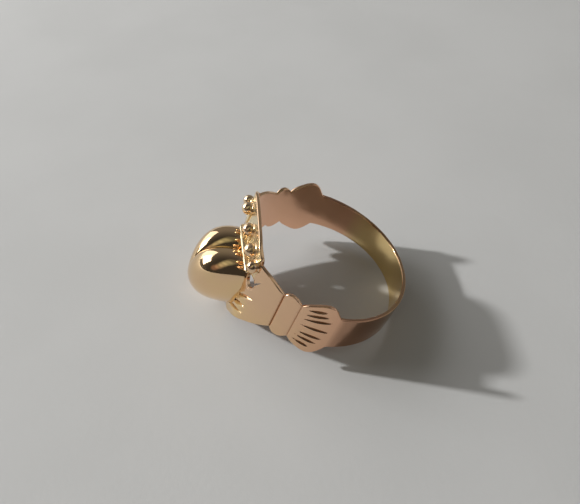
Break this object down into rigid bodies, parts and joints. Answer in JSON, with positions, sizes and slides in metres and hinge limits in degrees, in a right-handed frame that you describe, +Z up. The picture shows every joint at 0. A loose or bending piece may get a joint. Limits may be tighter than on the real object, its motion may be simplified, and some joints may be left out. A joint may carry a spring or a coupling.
{
  "type": "claddagh fede ring",
  "caption": "Gold finger ring: a puffed heart held by two cuffed hands under a beaded crown, on a plain tapering band.",
  "frame": {"origin": "on the surface the ring lies on, under the middle of its outer box", "axes": "+Z up as the ring rests, -Y towards the heart, +X along the ring's width; the finger hole leans 19.3 degrees from +Z towards +Y"},
  "size_m": [0.018, 0.023, 0.0118],
  "materials": {
    "gold": "polished"
  },
  "bodies": {
    "root": {"ring": "gold"}
  },
  "joints": []
}
